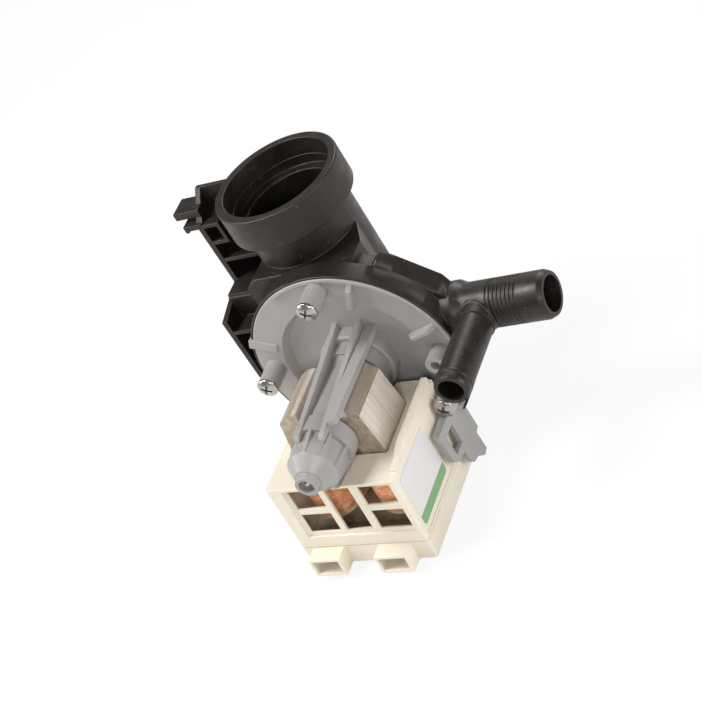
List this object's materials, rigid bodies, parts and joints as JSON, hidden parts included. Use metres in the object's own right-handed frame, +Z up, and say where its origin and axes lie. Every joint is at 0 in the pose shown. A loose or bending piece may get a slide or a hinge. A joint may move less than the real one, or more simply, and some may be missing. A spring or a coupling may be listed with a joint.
{
  "type": "washing machine circulation pump",
  "caption": "Circulation pump with a vertical inlet pipe, a volute with outlet and branch spigots, and a synchronous motor in a coil box.",
  "frame": {"origin": "centre of the inlet pipe's mouth, on the plane of its rim", "axes": "+Z up out of the inlet pipe; +X along the outlet spigot, outwards; -Y along the rotor axis, from the impeller to the nose of the rotor can"},
  "size_m": [0.1368, 0.1171, 0.1159],
  "materials": {
    "black_plastic": "satin",
    "gray_plastic": "satin",
    "rubber": "matte",
    "zinc_steel": "zinc plated",
    "lamination_steel": "bare laminations",
    "bobbin_plastic": "satin",
    "copper": "enamelled",
    "dark_plastic": "satin",
    "cream_plastic": "satin",
    "tin_brass": "tinned",
    "label_paper": "smooth film",
    "bush_ceramic": "sintered",
    "shaft_steel": "ground",
    "ferrite": "sintered",
    "impeller_plastic": "satin"
  },
  "bodies": {
    "pump_body": {"volute_housing": "black_plastic", "inlet_pipe": "black_plastic", "outlet_pipe": "black_plastic", "holding_bracket": "black_plastic", "motor_flange": "gray_plastic", "flange_seal": "rubber", "flange_screws": "zinc_steel", "stator_core": "lamination_steel", "coil_bobbin_left": "bobbin_plastic", "coil_bobbin_right": "bobbin_plastic", "coil_core_left": "copper", "coil_core_right": "copper", "coil_turns_left": "copper", "coil_turns_right": "copper", "thermal_fuse": "dark_plastic", "coil_box": "cream_plastic", "coil_box_base": "cream_plastic", "terminal_blades": "tin_brass", "rating_label": "label_paper", "bearing_carrier": "gray_plastic", "shaft_seal": "rubber", "front_bush": "bush_ceramic", "front_bush_mount": "rubber", "rear_bush": "bush_ceramic", "rear_bush_mount": "rubber", "end_pin": "shaft_steel"},
    "rotor": {"rotor_shaft": "shaft_steel", "rotor_sleeve": "dark_plastic", "rotor_magnet": "ferrite", "rear_washer": "bush_ceramic", "front_washer": "bush_ceramic", "drive_dog": "dark_plastic"},
    "impeller_wheel": {"impeller": "impeller_plastic", "hub_cap": "impeller_plastic"}
  },
  "joints": [
    {"name": "rotor_spin", "type": "hinge", "parent": "pump_body", "child": "rotor", "pos_m": [0.0118, -0.032, -0.065], "axis": [0, 1, 0], "continuous": true},
    {"name": "impeller_free_play", "type": "hinge", "parent": "rotor", "child": "impeller_wheel", "pos_m": [0.0118, -0.032, -0.065], "axis": [0, 1, 0], "range_deg": [-130, 130]}
  ]
}
